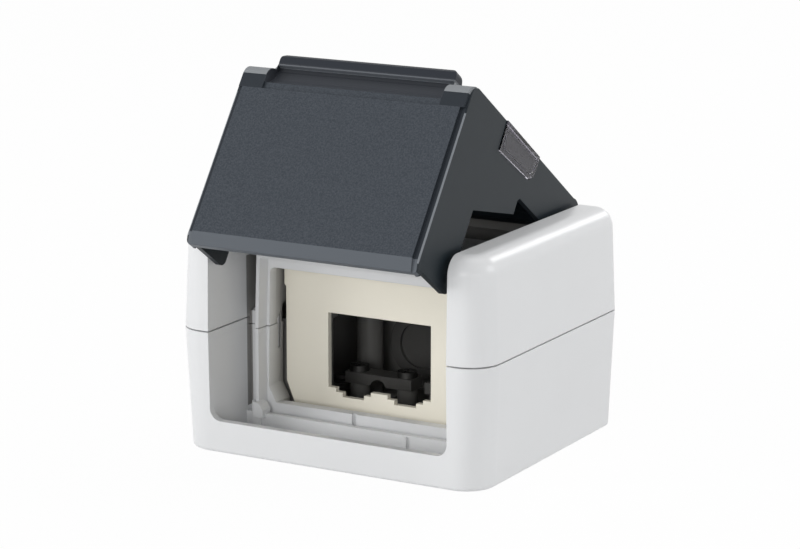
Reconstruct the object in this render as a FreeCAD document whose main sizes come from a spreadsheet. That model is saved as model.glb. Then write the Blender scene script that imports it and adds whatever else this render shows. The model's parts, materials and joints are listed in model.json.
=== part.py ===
import FreeCAD, Part
import Sketcher
import os
from FreeCAD import Vector, Rotation, Placement

# Surface mount jack box in millimetres: two moulded shells, a hinged lid and a
# mounting plate for two jacks.  X runs across, the open front faces -Y, the
# base that goes on the wall is Z = 0 and the lid is on top.  The origin is the
# middle of the base; the sketches count Y from the front face at the joint.

SIZES = [
    # housing outline
    ("box_width", 88.8, "width at the joint between the shells"),
    ("box_depth", 74.2, "depth, front to rear"),
    ("box_top", 58.1, "height of the side walls"),
    ("split_z", 31.3, "height of the joint between the shells"),
    ("seam_gap", 0.35, "visible shadow gap in the joint"),
    ("seam_step", 2.0, "how far the inner half of the joint lies lower"),
    ("land_gap", 0.2, "gap between the inner lands of the joint"),
    ("seal_height", 0.8, "height of the joint gasket"),
    ("joint_play", 0.15, "side play of the tongue in its rebate"),
    ("joint_cut", 2.6, "chamfer at the front corners of the joint"),
    ("base_inset", 1.43, "side draft, joint to base"),
    ("top_inset", 1.2, "side draft, joint to top"),
    ("base_lean", 0.68, "front draft, joint to base"),
    ("top_lean", 0.6, "front draft, joint to top"),
    ("corner_r", 8.0, "front vertical corner radius"),
    ("crown_r", 5.0, "radius along the tops of the side walls"),
    ("rear_r", 3.0, "rear edge radius"),
    ("foot_r", 1.0, "base edge radius"),
    ("wall", 2.6, "outer wall"),
    ("floor", 2.6, "base thickness"),
    # front opening
    ("cheek", 10.4, "side of the housing beside the opening, both walls"),
    ("liner", 1.6, "inner wall of a cheek"),
    ("mouth_sill", 8.4, "height of the lip below the opening"),
    ("mouth_r", 3.0, "lower corner radius of the opening"),
    ("land_y", 19.0, "where the lowered inner joint starts"),
    # inner frame
    ("frame_y", 20.0, "front face of the inner frame"),
    ("frame_thick", 3.0, "inner frame thickness"),
    ("slot_width", 3.8, "width of the slots for the lid's side walls"),
    ("shoulder", 1.5, "flat between the collar and the window"),
    ("window_draft", 0.7, "how much the window narrows towards its top"),
    ("window_bottom", 9.3, "window sill height"),
    ("window_chamfer", 4.2, "height of the sill chamfers"),
    ("window_drop", 4.1, "window top below the deck"),
    ("window_r", 1.5, "window top corner radius"),
    ("collar_y", 16.0, "front edge of the collar round the window"),
    ("collar_draft", 0.7, "how much the collar narrows towards its top"),
    ("collar_thick", 1.0, "collar wall"),
    ("ledge_drop", 1.2, "top of the ledge below the sill lip"),
    ("ledge_thick", 1.6, "ledge wall"),
    ("end_low", 6.8, "top of the low steps beside the ledge"),
    ("end_y", 17.6, "front face of the low steps"),
    ("end_post", 1.1, "width of the short posts beside the ledge"),
    ("rib_proud", 0.6, "ledge ribs, how far they stand out"),
    ("rib_drop", 0.3, "ledge ribs, top below the ledge"),
    ("rib_x", 13.0, "left side of the single ledge rib"),
    ("rib_wide", 1.3, "width of the single ledge rib"),
    ("corner_rib", 1.8, "width of the rib at the ledge's left end"),
    ("key_x", 3.4, "keying groove below the sill, left of centre"),
    ("key_width", 1.2, "keying groove width"),
    ("key_depth", 0.8, "keying groove depth"),
    ("toe_width", 2.9, "width of the corner toes on the ledge"),
    ("toe_rise", 0.9, "top of the corner toes above the sill"),
    ("toe_proud", 1.4, "corner toes, how far they stand out"),
    ("toe_long", 3.8, "corner toes, front to rear"),
    # deck under the lid
    ("deck_drop", 9.2, "deck below the top of the side walls"),
    ("deck_thick", 1.7, "deck thickness"),
    ("slot_fall", 3.3, "rear floor of the lid slots below the deck"),
    ("slot_step", 4.6, "step down in the floor of the lid slots"),
    ("slot_slope", 8.6, "further fall of the slot floor to the front"),
    ("slot_play", 0.9, "play between the lid legs and the slots"),
    ("skin", 1.8, "wall under the lid slot"),
    ("chamber_wall", 3.4, "outer wall of the upper side chambers"),
    ("chamber_roof", 3.6, "roof of the side chambers"),
    ("hinge_block", 10.2, "length of the solid hinge corners"),
    # shell screws
    ("boss_edge", 5.6, "shell screws, in from the edge of the deck"),
    ("boss_front_gap", 13.0, "front screws behind the inner frame"),
    ("boss_rear_gap", 12.2, "rear screws from the rear face"),
    ("boss_r", 3.5, "boss radius in the lower shell"),
    ("well_r", 3.7, "screw well radius in the deck"),
    ("well_wall", 1.0, "screw well wall"),
    ("well_floor", 1.7, "screw seat above the joint"),
    ("pilot_r", 1.5, "pilot hole radius in the bosses"),
    ("pilot_spare", 1.5, "pilot hole beyond the screw tip"),
    ("pass_r", 1.7, "clearance hole radius"),
    ("screw_r", 1.45, "screw shank radius"),
    ("screw_head_r", 3.0, "screw head radius"),
    ("screw_head", 2.2, "screw head height"),
    ("screw_long", 18.0, "shell screw length"),
    ("cross_wide", 0.8, "cross recess width"),
    ("cross_long", 3.2, "cross recess length"),
    ("cross_deep", 1.2, "cross recess depth"),
    # wall fixing
    ("fix_edge", 11.4, "fixing holes from the side faces"),
    ("fix_front_gap", 15.0, "front fixing holes behind the inner frame"),
    ("fix_rear_gap", 9.2, "rear fixing holes from the rear face"),
    ("fix_r", 2.2, "fixing hole radius"),
    ("fix_seat_r", 4.0, "seal seat radius"),
    ("fix_rim_r", 5.4, "rim round the seal seat"),
    ("fix_rim", 1.8, "height of the rim above the floor"),
    ("fix_seat", 0.8, "seal seat below the floor"),
    ("seal_play", 0.05, "seal play in its seat"),
    ("seal_proud", 0.4, "seal above its rim"),
    # mounting plate
    ("plate_gap", 3.9, "plate behind the inner frame"),
    ("plate_thick", 1.6, "mounting plate thickness"),
    ("plate_play", 0.6, "side play of the plate between its fins"),
    ("plate_step", 0.5, "the upper part of the plate is wider by this"),
    ("plate_taper", 2.9, "width of the chamfers at the foot of the plate"),
    ("plate_lift", 0.1, "plate above the floor"),
    ("plate_foot_z", 6.5, "lower end of the plate chamfers"),
    ("plate_chamfer", 7.0, "height of the plate chamfers"),
    ("plate_head", 8.1, "height of the wider part"),
    ("port_pitch", 15.2, "distance between the two ports"),
    ("port_half", 15.0, "half width of the cut-out"),
    ("port_top", 33.05, "top of the cut-out"),
    ("port_base", 13.4, "bottom of the cut-out"),
    ("key1_half", 5.15, "half width of the upper latch step"),
    ("key1_z", 12.35, "bottom of the upper latch step"),
    ("key2_half", 3.15, "half width of the lower latch step"),
    ("key2_z", 11.2, "bottom of the lower latch step"),
    ("fin", 1.5, "thickness of the plate guide fins"),
    ("fin_play", 0.2, "play between plate and fins"),
    ("fin_inset", 1.6, "side fins inside the collar's outer face"),
    ("fin_low", 6.0, "top of the lower guide ribs"),
    ("cheek_rise", 3.5, "how far the joint in the window's jambs climbs to the rear"),
    ("groove_gap", 0.9, "groove in the jambs, in front of the plate's guide"),
    ("groove_wide", 1.5, "groove in the jambs, width"),
    ("groove_deep", 0.6, "groove in the jambs, depth"),
    ("groove_low", 22.5, "lower end of the groove in the jambs"),
    # cable entry and strain relief
    ("entry_x", 12.0, "cable entries, off centre"),
    ("entry_z", 15.0, "cable entry height"),
    ("entry_r", 8.0, "cable entry radius"),
    ("grommet_lap", 1.4, "grommet flange beyond the hole"),
    ("grommet_flange", 1.5, "grommet flange thickness"),
    ("grommet_play", 0.1, "grommet play in the wall"),
    ("grommet_wall", 1.6, "wall round the thin membrane"),
    ("grommet_skin", 0.8, "membrane thickness"),
    ("nipple", 1.6, "height of the nipple on the membrane"),
    ("clamp_gap", 24.2, "cable clamps from the rear face"),
    ("clamp_long", 20.0, "clamp bar length"),
    ("clamp_wide", 6.0, "clamp bar width"),
    ("clamp_thick", 3.0, "clamp bar thickness"),
    ("clamp_z", 9.0, "underside of the clamp bar"),
    ("clamp_screw_in", 2.8, "clamp screws from the ends of the bar"),
    ("clamp_post_r", 2.7, "clamp post radius"),
    ("cable_r", 3.0, "cable groove radius"),
    ("clamp_screw_long", 6.0, "clamp screw length in its post"),
    ("clamp_head_r", 2.6, "clamp screw head radius"),
    ("clamp_head", 1.6, "clamp screw head height"),
    # lid, sizes taken with the lid closed
    ("hinge_in", 4.1, "hinge axis from the rear face"),
    ("hinge_drop", 2.4, "hinge axis below the top of the side walls"),
    ("barrel_gap", 0.3, "gap between barrel and rear wall"),
    ("lid_open", 34.7, "lid angle as modelled, degrees from closed"),
    ("lid_gap", 1.5, "gap beside the lid"),
    ("lid_rise", 1.7, "top of the lid above the side walls"),
    ("lid_wall", 2.4, "top and flap thickness"),
    ("lid_side", 1.5, "thickness of the lid's side walls"),
    ("flap_high_y", 2.7, "flap face at the ridge"),
    ("flap_low_y", 1.7, "flap face above the bevel"),
    ("flap_gap", 1.4, "flap above the sill lip"),
    ("bevel", 3.1, "height of the bevel"),
    ("bevel_y", 1.1, "bevel depth"),
    ("ridge_r", 3.4, "ridge radius"),
    ("edge_r", 0.4, "lid side edge radius"),
    ("flap_r", 1.2, "lower corner radius of the flap"),
    ("leg_rear", 19.6, "rear edge of the lid legs"),
    ("leg_lift", 1.1, "legs end above the flap's lower edge"),
    ("leg_r", 2.0, "rounding of the leg's lower rear corner"),
    ("leg_play", 1.4, "top of the leg's rear edge above the slot floor"),
    ("notch_y", 39.9, "front of the notch"),
    ("notch_play", 1.0, "notch above the rear floor of the slot"),
    ("notch_cut", 0.9, "chamfer in the notch corner"),
    ("rim_rear", 9.2, "rear end of the level rim from the hinge axis"),
    ("border", 1.6, "margin beside the raised panel"),
    ("panel_drop", 6.9, "top of the raised panel below the lid top"),
    ("panel_proud", 0.7, "how far the panel stands out"),
    ("lug_width", 7.4, "lugs on both sides of the scoop"),
    ("lug_margin", 0.6, "margin beside the lugs"),
    ("lug_high", 3.8, "shoulder of the lugs below the lid top"),
    ("lug_r", 3.65, "rounding over the shoulder of the lugs"),
    ("scoop_drop", 4.9, "lower edge of the scoop below the lid top"),
    ("scoop_r", 6.6, "radius of the scoop's hollow"),
    ("lip_low_y", 6.9, "back of the scoop, below the lip"),
    ("lip_low", 1.2, "underside of the lip above the lid top"),
    ("lip_front", 5.6, "front edge of the lip"),
    ("lip_rise", 4.5, "top of the lip above the lid top"),
    ("lip_thick", 3.4, "thickness of the lip"),
    ("lip_r", 1.6, "rounding of the lip ends"),
    ("pin_r", 1.5, "hinge pin radius"),
    ("pin_in", 6.0, "pin length in the lid"),
    ("pin_out", 5.0, "pin length beyond the lid"),
    ("pin_fit", 0.02, "pin fit in the lid"),
    ("hinge_play", 0.06, "pin play in the housing"),
    # label under its clear window
    ("label_front", 23.1, "front edge of the label recess"),
    ("label_wide", 21.3, "width of the label recess"),
    ("label_deep", 0.85, "label recess depth"),
    ("label_side", 0.8, "depth of the side recess"),
    ("label_drop", 8.2, "bottom of the side recess below the lid top"),
    ("card_thick", 0.25, "label card thickness"),
    ("card_margin", 0.6, "gap round the card"),
    ("pane_play", 0.15, "play round the window"),
    ("pane_proud", 0.3, "window lugs, how far they stand out"),
]

doc = FreeCAD.newDocument("SurfaceMountJackBox")
sheet = doc.addObject("Spreadsheet::Sheet", "Sheet")


class Size:
    """A length that keeps the spreadsheet formula it was worked out from."""

    def __init__(self, value, text=None):
        self.value = float(value)
        self.text = text if text else repr(float(value))

    def combine(self, other, sign, swap=False):
        if not isinstance(other, Size):
            other = Size(other)
        a, b = (other, self) if swap else (self, other)
        if sign == "+":
            value = a.value + b.value
        elif sign == "-":
            value = a.value - b.value
        elif sign == "*":
            value = a.value * b.value
        else:
            value = a.value / b.value
        return Size(value, "(" + a.text + " " + sign + " " + b.text + ")")

    def __add__(self, other):
        return self.combine(other, "+")

    def __radd__(self, other):
        return self.combine(other, "+", True)

    def __sub__(self, other):
        return self.combine(other, "-")

    def __rsub__(self, other):
        return self.combine(other, "-", True)

    def __mul__(self, other):
        return self.combine(other, "*")

    def __rmul__(self, other):
        return self.combine(other, "*", True)

    def __truediv__(self, other):
        return self.combine(other, "/")

    def __neg__(self):
        return self.combine(-1.0, "*")


class Table:
    """The named sizes, each one a spreadsheet cell with its own alias."""

    def __init__(self, rows):
        for row, (name, value, note) in enumerate(rows, start=1):
            sheet.set("A%d" % row, name)
            sheet.set("B%d" % row, repr(value))
            sheet.setAlias("B%d" % row, name)
            sheet.set("C%d" % row, note)
            setattr(self, name, Size(value, "Sheet." + name))


t = Table(SIZES)
doc.recompute()

# Places that follow from the sizes, across the box ...
half = t.box_width / 2
t.mouth_half = half - t.cheek
t.lid_half = t.mouth_half - t.lid_gap
t.collar_half = t.mouth_half - t.slot_width
t.collar_high = t.collar_half - t.collar_draft
t.toe_half = t.collar_half - t.toe_width
t.window_half = t.collar_half - t.shoulder
t.fin_side = t.collar_half - t.fin_inset
t.plate_wide = t.fin_side - t.plate_play
t.plate_half = t.plate_wide - t.plate_step
t.plate_foot = t.plate_half - t.plate_taper
t.fin_back = t.plate_half - t.fin
t.fin_half = t.plate_foot - t.plate_play
t.chamber_half = half - t.chamber_wall
t.boss_x = t.fin_side - t.boss_edge
t.fix_x = half - t.fix_edge
t.clamp_screw_x = t.clamp_long / 2 - t.clamp_screw_in
t.panel_half = t.lid_half - t.border
t.scoop_half = t.lid_half - t.lug_width
# ... from front to rear ...
frame_back = t.frame_y + t.frame_thick
inner_rear = t.box_depth - t.wall
t.plate_y = frame_back + t.plate_gap
t.boss_front = frame_back + t.boss_front_gap
t.boss_rear = t.box_depth - t.boss_rear_gap
t.fix_front = frame_back + t.fix_front_gap
t.fix_rear = t.box_depth - t.fix_rear_gap
t.clamp_y = t.box_depth - t.clamp_gap
t.hinge_y = t.box_depth - t.hinge_in
t.hinge_block_y = t.box_depth - t.hinge_block
t.rim_end = t.hinge_y - t.rim_rear
t.slot_step_y = t.notch_y + t.slot_play
t.label_rear = t.label_front + t.label_wide
# ... and from the base up.
t.ledge_top = t.mouth_sill - t.ledge_drop
t.rib_height = t.ledge_top - t.rib_drop
t.toe_top = t.window_bottom + t.toe_rise
t.deck_top = t.box_top - t.deck_drop
deck_low = t.deck_top - t.deck_thick
t.window_top = t.deck_top - t.window_drop
t.slot_rear = t.deck_top - t.slot_fall
t.slot_end = t.slot_rear - t.slot_step
t.slot_start = t.slot_end - t.slot_slope
t.chamber_top = t.box_top - t.chamber_roof
t.screw_seat = t.split_z + t.well_floor
t.pilot_low = t.screw_seat - t.screw_long - t.pilot_spare
t.fix_rim_top = t.floor + t.fix_rim
t.seat_low = t.floor - t.fix_seat
t.plate_low = t.floor + t.plate_lift
t.plate_chamfer_z = t.plate_foot_z + t.plate_chamfer
t.plate_top = deck_low - t.plate_play
t.plate_wide_z = t.plate_top - t.plate_head
t.hinge_z = t.box_top - t.hinge_drop
t.lid_top = t.box_top + t.lid_rise
t.flap_bottom = t.mouth_sill + t.flap_gap
t.bevel_z = t.flap_bottom + t.bevel
t.leg_bottom = t.flap_bottom + t.leg_lift
t.leg_top = t.slot_start + t.leg_play
t.notch_low = t.slot_end + t.slot_play
t.notch_top = t.slot_rear + t.notch_play
t.panel_top = t.lid_top - t.panel_drop
t.lug_top = t.lid_top - t.lug_high
t.scoop_low = t.lid_top - t.scoop_drop
t.lip_low_z = t.lid_top + t.lip_low
t.lip_top = t.lid_top + t.lip_rise
t.label_low = t.lid_top - t.label_drop


def as_size(value):
    return value if isinstance(value, Size) else Size(value)


def place(body, x=0.0, y=0.0, z=0.0, turn=None):
    """Move a body; Y is given from the front face, the origin is mid-depth."""
    x, y, z = as_size(x), as_size(y) - t.box_depth / 2, as_size(z)
    body.Placement = Placement(Vector(x.value, y.value, z.value), turn or Rotation())
    body.setExpression("Placement.Base.x", x.text)
    body.setExpression("Placement.Base.y", y.text)
    body.setExpression("Placement.Base.z", z.text)


def new_body(name):
    body = doc.addObject("PartDesign::Body", name)
    body.Label = name
    place(body)
    return body


def new_sketch(body, name, plane, offset):
    offset = as_size(offset)
    sketch = body.newObject("Sketcher::SketchObject", name)
    role = plane + "_Plane"
    base = [item for item in body.Origin.OriginFeatures if item.Role == role][0]
    sketch.AttachmentSupport = [(base, "")]
    sketch.MapMode = "FlatFace"
    sketch.AttachmentOffset = Placement(Vector(0, 0, offset.value), Rotation())
    sketch.setExpression("AttachmentOffset.Base.z", offset.text)
    return sketch


def fix_point(sketch, geo, pos, x, y):
    """Hold one sketch point at (x, y), each distance bound to the sheet."""
    for kind, value, axis in (("DistanceX", x, -2), ("DistanceY", y, -1)):
        if value.value == 0.0:
            sketch.addConstraint(Sketcher.Constraint("PointOnObject", geo, pos, axis))
        else:
            index = sketch.addConstraint(
                Sketcher.Constraint(kind, -1, 1, geo, pos, value.value))
            sketch.setExpression("Constraints[%d]" % index, value.text)


def arc_between(start, end, radius):
    """Arc from start to end that bulges to the right of the way there."""
    chord = end - start
    across = Vector(chord.y, -chord.x, 0).normalize()
    sag = radius - (radius ** 2 - (chord.Length / 2) ** 2) ** 0.5
    return Part.Arc(start, (start + end) * 0.5 + across * sag, end)


def add_loop(sketch, points):
    """A closed outline through the corners; a third value bends the side after it."""
    points = [tuple(as_size(value) for value in point) for point in points]
    corners = [Vector(point[0].value, point[1].value, 0) for point in points]
    count = len(corners)
    first = sketch.GeometryCount
    for i, point in enumerate(points):
        start, end = corners[i], corners[(i + 1) % count]
        side = Part.LineSegment(start, end)
        if len(point) == 3:
            side = arc_between(start, end, point[2].value)
        sketch.addGeometry(side, False)
    for i in range(count):
        nxt = first + (i + 1) % count
        sketch.addConstraint(Sketcher.Constraint("Coincident", first + i, 2, nxt, 1))
    for i, point in enumerate(points):
        fix_point(sketch, first + i, 1, point[0], point[1])
        if len(point) == 3:
            index = sketch.addConstraint(
                Sketcher.Constraint("Radius", first + i, point[2].value))
            sketch.setExpression("Constraints[%d]" % index, point[2].text)


def add_circle(sketch, x, y, radius):
    x, y, radius = as_size(x), as_size(y), as_size(radius)
    circle = Part.Circle(Vector(x.value, y.value, 0), Vector(0, 0, 1), radius.value)
    geo = sketch.addGeometry(circle, False)
    fix_point(sketch, geo, 3, x, y)
    index = sketch.addConstraint(Sketcher.Constraint("Radius", geo, radius.value))
    sketch.setExpression("Constraints[%d]" % index, radius.text)


def prism(body, kind, name, plane, low, high, loops=(), circles=()):
    """Pad or pocket between two levels along the plane's own axis."""
    low, high = as_size(low), as_size(high)
    if plane == "XZ":
        offset = -high if kind == "Pad" else -low
    else:
        offset = low if kind == "Pad" else high
    sketch = new_sketch(body, name + "_sketch", plane, offset)
    for loop in loops:
        add_loop(sketch, loop)
    for circle in circles:
        add_circle(sketch, *circle)
    feature = body.newObject("PartDesign::" + kind, name)
    feature.Profile = sketch
    length = high - low
    feature.Length = length.value
    feature.setExpression("Length", length.text)
    sketch.Visibility = False
    return feature


def both_sides(body, kind, name, low, high, loops=(), circles=()):
    """The same YZ outline on the right and on the left of the centre plane."""
    low, high = as_size(low), as_size(high)
    prism(body, kind, name + "_right", "YZ", low, high, loops, circles)
    prism(body, kind, name + "_left", "YZ", -high, -low, loops, circles)


def mirrored(loop):
    """The same outline on the other side, run backwards so arcs keep their bend."""
    return [(-1.0 * as_size(loop[-i][0]), loop[-i][1]) + tuple(loop[-i - 1][2:])
            for i in range(len(loop))]


def box_loop(x0, x1, y0, y1):
    return [(x0, y0), (x1, y0), (x1, y1), (x0, y1)]


def near(value, target, slack=0.05):
    return abs(value - as_size(target).value) < slack


def round_edges(body, name, radius, pick):
    """Fillet every edge of the body's tip that the pick function accepts."""
    doc.recompute()
    tip = body.Tip
    names = []
    for number, edge in enumerate(tip.Shape.Edges, start=1):
        if pick(edge.BoundBox):
            names.append("Edge%d" % number)
    fillet = body.newObject("PartDesign::Fillet", name)
    fillet.Base = (tip, names)
    fillet.Radius = radius.value
    fillet.setExpression("Radius", radius.text)
    return fillet


barrel_r = t.lid_top - t.hinge_z
lower_top = t.split_z - t.seam_gap / 2
upper_low = t.split_z + t.seam_gap / 2
land_low = t.split_z - t.seam_step - t.land_gap / 2
land_high = t.split_z - t.seam_step + t.land_gap / 2
inner_half = half - t.wall
liner_out = t.mouth_half + t.liner

# Window outline shared by both halves of the inner frame.
window_loop = [
    (-t.window_half + t.window_chamfer / 2, t.window_bottom),
    (t.window_half - t.window_chamfer / 2, t.window_bottom),
    (t.window_half, t.window_bottom + t.window_chamfer),
    (t.window_half - t.window_draft, t.window_top),
    (-t.window_half + t.window_draft, t.window_top),
    (-t.window_half, t.window_bottom + t.window_chamfer),
]


def joint_outline(play):
    """Outline of the lowered inner part of the joint between the shells."""
    side = half - t.wall / 2 - play
    front = t.wall - 0.4 + play
    post = t.mouth_half + 1.0 + play
    step = t.land_y + play
    rear = t.box_depth - t.wall / 2 - play
    cut = t.joint_cut
    return [
        (-side, front + cut + 1.4), (-side + cut, front), (-post, front), (-post, step),
        (post, step), (post, front), (side - cut, front), (side, front + cut + 1.4),
        (side, rear), (-side, rear),
    ]


def gasket_band(outer, inner):
    """U-shaped band that follows the joint round the sides and the rear."""
    rim = half - t.wall / 2
    rear = t.box_depth - t.wall / 2
    front = t.wall - 0.4
    end = t.mouth_half + 2.0
    cut = t.joint_cut
    run = front + cut + 1.4
    return [
        (-end, front + outer), (-rim + cut + outer * 0.6, front + outer),
        (-rim + outer, run + outer * 0.6), (-rim + outer, rear - outer),
        (rim - outer, rear - outer), (rim - outer, run + outer * 0.6),
        (rim - cut - outer * 0.6, front + outer), (end, front + outer),
        (end, front + inner), (rim - cut - inner * 0.6, front + inner),
        (rim - inner, run + inner * 0.6), (rim - inner, rear - inner),
        (-rim + inner, rear - inner), (-rim + inner, run + inner * 0.6),
        (-rim + cut + inner * 0.6, front + inner), (-end, front + inner),
    ]


boss_spots = [(sx * t.boss_x, y) for y in (t.boss_front, t.boss_rear) for sx in (-1.0, 1.0)]
fix_spots = [(sx * t.fix_x, y) for y in (t.fix_front, t.fix_rear) for sx in (-1.0, 1.0)]
clamp_spots = [(sx * t.entry_x + dx * t.clamp_screw_x, t.clamp_y)
               for sx in (-1.0, 1.0) for dx in (-1.0, 1.0)]

# ---------------------------------------------------------------- lower shell
lower = new_body("lower_shell")
prism(lower, "Pad", "lower_block", "YZ", -half, half, [[
    (t.base_lean, 0.0), (t.box_depth, 0.0), (t.box_depth, lower_top), (0.0, lower_top)]])
side_wedge = [(half - t.base_inset, 0.0), (half + 1.0, 0.0),
              (half + 1.0, lower_top), (half, lower_top)]
prism(lower, "Pocket", "lower_draft", "XZ", -1.0, t.box_depth + 1.0,
      [side_wedge, mirrored(side_wedge)])
round_edges(lower, "lower_front_corners", t.corner_r,
            lambda b: b.ZLength > half.value / 2 and b.YMax < 2.0)
round_edges(lower, "lower_rear_corners", t.rear_r,
            lambda b: b.ZLength > half.value / 2 and near(b.YMin, t.box_depth))
round_edges(lower, "lower_base_edges", t.foot_r, lambda b: near(b.ZMax, 0.0))
prism(lower, "Pocket", "mouth", "XZ", -1.0, t.wall + 0.4,
      [box_loop(-t.mouth_half, t.mouth_half, t.mouth_sill, lower_top + 1.0)])
round_edges(lower, "mouth_corners", t.mouth_r,
            lambda b: near(b.ZMin, t.mouth_sill) and near(b.ZMax, t.mouth_sill)
            and b.YLength > 1.0 and b.XLength < 0.1)
prism(lower, "Pocket", "front_chamber", "XY", t.floor, lower_top + 1.0,
      [box_loop(-t.mouth_half, t.mouth_half, t.wall, t.frame_y)])
prism(lower, "Pocket", "inner_chamber", "XY", t.floor, lower_top + 1.0, [[
    (-inner_half + t.joint_cut, t.wall + 0.9), (-liner_out, t.wall + 0.9),
    (-liner_out, frame_back), (liner_out, frame_back), (liner_out, t.wall + 0.9),
    (inner_half - t.joint_cut, t.wall + 0.9), (inner_half, t.wall + t.joint_cut + 2.0),
    (inner_half, inner_rear), (-inner_half, inner_rear),
    (-inner_half, t.wall + t.joint_cut + 2.0)]])
prism(lower, "Pocket", "joint_rebate", "XY", land_low, lower_top + 1.0,
      [joint_outline(Size(0.0))])
prism(lower, "Pocket", "window_lower", "XZ", t.frame_y - 1.0, frame_back + 1.0, [window_loop])

# Collar, ledge with its ribs and toes, and the keying groove below the sill.
collar_side = box_loop(t.collar_half - t.collar_thick, t.collar_half, t.floor - 0.5, land_low)
prism(lower, "Pad", "collar_lower", "XZ", t.collar_y, t.frame_y + 0.5,
      [collar_side, mirrored(collar_side)])
prism(lower, "Pad", "ledge", "XZ", t.collar_y, t.collar_y + t.ledge_thick,
      [box_loop(-t.collar_half, t.collar_half, t.floor - 0.5, t.ledge_top)])
prism(lower, "Pad", "ledge_ribs", "XZ", t.collar_y - t.rib_proud, t.collar_y + 0.5, [
    box_loop(-t.collar_half, -t.collar_half + t.corner_rib, t.floor - 0.5, t.rib_height),
    box_loop(t.rib_x, t.rib_x + t.rib_wide, t.floor - 0.5, t.rib_height)])
toe = [(-t.collar_half, t.ledge_top - 1.0), (-t.toe_half, t.ledge_top - 1.0),
       (-t.toe_half, t.toe_top - 2.0), (-t.toe_half - 0.9, t.toe_top - 0.5),
       (-t.toe_half - 1.9, t.toe_top), (-t.collar_half, t.toe_top)]
toe_y = t.collar_y - t.toe_proud
prism(lower, "Pad", "toes", "XZ", toe_y, toe_y + t.toe_long, [toe, mirrored(toe)])
low_step = box_loop(t.collar_half - 0.2, t.mouth_half + 0.3, t.floor - 0.5, t.end_low)
prism(lower, "Pad", "low_steps", "XZ", t.end_y, t.frame_y + 0.5,
      [low_step, mirrored(low_step)])
post = box_loop(t.collar_half - 0.2, t.collar_half + t.end_post, t.floor - 0.5, t.toe_top)
prism(lower, "Pad", "end_posts", "XZ", t.collar_y, t.frame_y + 0.5, [post, mirrored(post)])
prism(lower, "Pocket", "keying_groove", "XZ", t.frame_y - 0.1, t.frame_y + t.key_depth, [
    box_loop(-t.key_x - t.key_width / 2, -t.key_x + t.key_width / 2, t.floor + 0.2,
             t.window_bottom + 0.5)])

# Guide fins and ribs that hold the mounting plate.
fin_front = t.plate_y - t.fin_play
fin_rear = t.plate_y + t.plate_thick + t.fin_play
side_fin = box_loop(t.fin_side, inner_half + 0.3, t.floor - 0.5, land_low)
back_fin = box_loop(t.fin_back, inner_half + 0.3, t.floor - 0.5, land_low)
rib = box_loop(-t.fin_half, t.fin_half, t.floor - 0.5, t.fin_low)
prism(lower, "Pad", "front_fins", "XZ", fin_front - t.fin, fin_front,
      [side_fin, mirrored(side_fin), rib])
prism(lower, "Pad", "rear_fins", "XZ", fin_rear, fin_rear + t.fin,
      [back_fin, mirrored(back_fin), rib])

# Jambs that carry the window's sides and chamfers back to the plate.
jamb_foot = t.window_half - t.window_chamfer / 2
jamb = [
    (t.window_half - t.window_draft / 2, land_low),
    (t.window_half, t.window_bottom + t.window_chamfer), (jamb_foot, t.window_bottom),
    (jamb_foot, t.floor - 0.5), (t.collar_half, t.floor - 0.5), (t.collar_half, land_low)]
prism(lower, "Pad", "jambs", "XZ", frame_back - 0.5, fin_front, [jamb, mirrored(jamb)])
both_sides(lower, "Pad", "jamb_peak", t.window_half, t.collar_half, [[
    (frame_back + 0.2, land_low - 0.5), (fin_front, land_low - 0.5),
    (fin_front, land_low + t.cheek_rise), (frame_back + 0.2, land_low)]])
groove_rear = fin_front - t.groove_gap
both_sides(lower, "Pocket", "jamb_groove", jamb_foot, t.window_half + t.groove_deep, [[
    (groove_rear - t.groove_wide, t.groove_low), (groove_rear, t.groove_low),
    (groove_rear, land_low + t.cheek_rise + 1.0),
    (groove_rear - t.groove_wide, land_low + t.cheek_rise + 1.0)]])

# Bosses for the shell screws, wall-fixing holes, cable entries, clamp posts.
prism(lower, "Pad", "bosses", "XY", t.floor - 0.5, land_low,
      circles=[(x, y, t.boss_r) for x, y in boss_spots])
prism(lower, "Pocket", "boss_pilots", "XY", t.pilot_low, land_low + 1.0,
      circles=[(x, y, t.pilot_r) for x, y in boss_spots])
prism(lower, "Pad", "fixing_rims", "XY", t.floor - 0.5, t.fix_rim_top,
      circles=[(x, y, t.fix_rim_r) for x, y in fix_spots])
prism(lower, "Pocket", "seal_seats", "XY", t.seat_low, t.fix_rim_top + 1.0,
      circles=[(x, y, t.fix_seat_r) for x, y in fix_spots])
prism(lower, "Pocket", "fixing_holes", "XY", -1.0, t.fix_rim_top,
      circles=[(x, y, t.fix_r) for x, y in fix_spots])
prism(lower, "Pocket", "cable_entries", "XZ", inner_rear - 1.0, t.box_depth + 1.0,
      circles=[(sx * t.entry_x, t.entry_z, t.entry_r) for sx in (-1.0, 1.0)])
prism(lower, "Pad", "clamp_posts", "XY", t.floor - 0.5, t.clamp_z,
      circles=[(x, y, t.clamp_post_r) for x, y in clamp_spots])
prism(lower, "Pad", "clamp_saddles", "XY", t.floor - 0.5, t.clamp_z - t.cable_r, [
    box_loop(sx * t.entry_x - t.cable_r - 0.4, sx * t.entry_x + t.cable_r + 0.4,
             t.clamp_y - t.clamp_wide / 2, t.clamp_y + t.clamp_wide / 2)
    for sx in (-1.0, 1.0)])
prism(lower, "Pocket", "clamp_pilots", "XY", t.clamp_z - t.clamp_screw_long, t.clamp_z + 1.0,
      circles=[(x, y, t.pilot_r) for x, y in clamp_spots])

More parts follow.
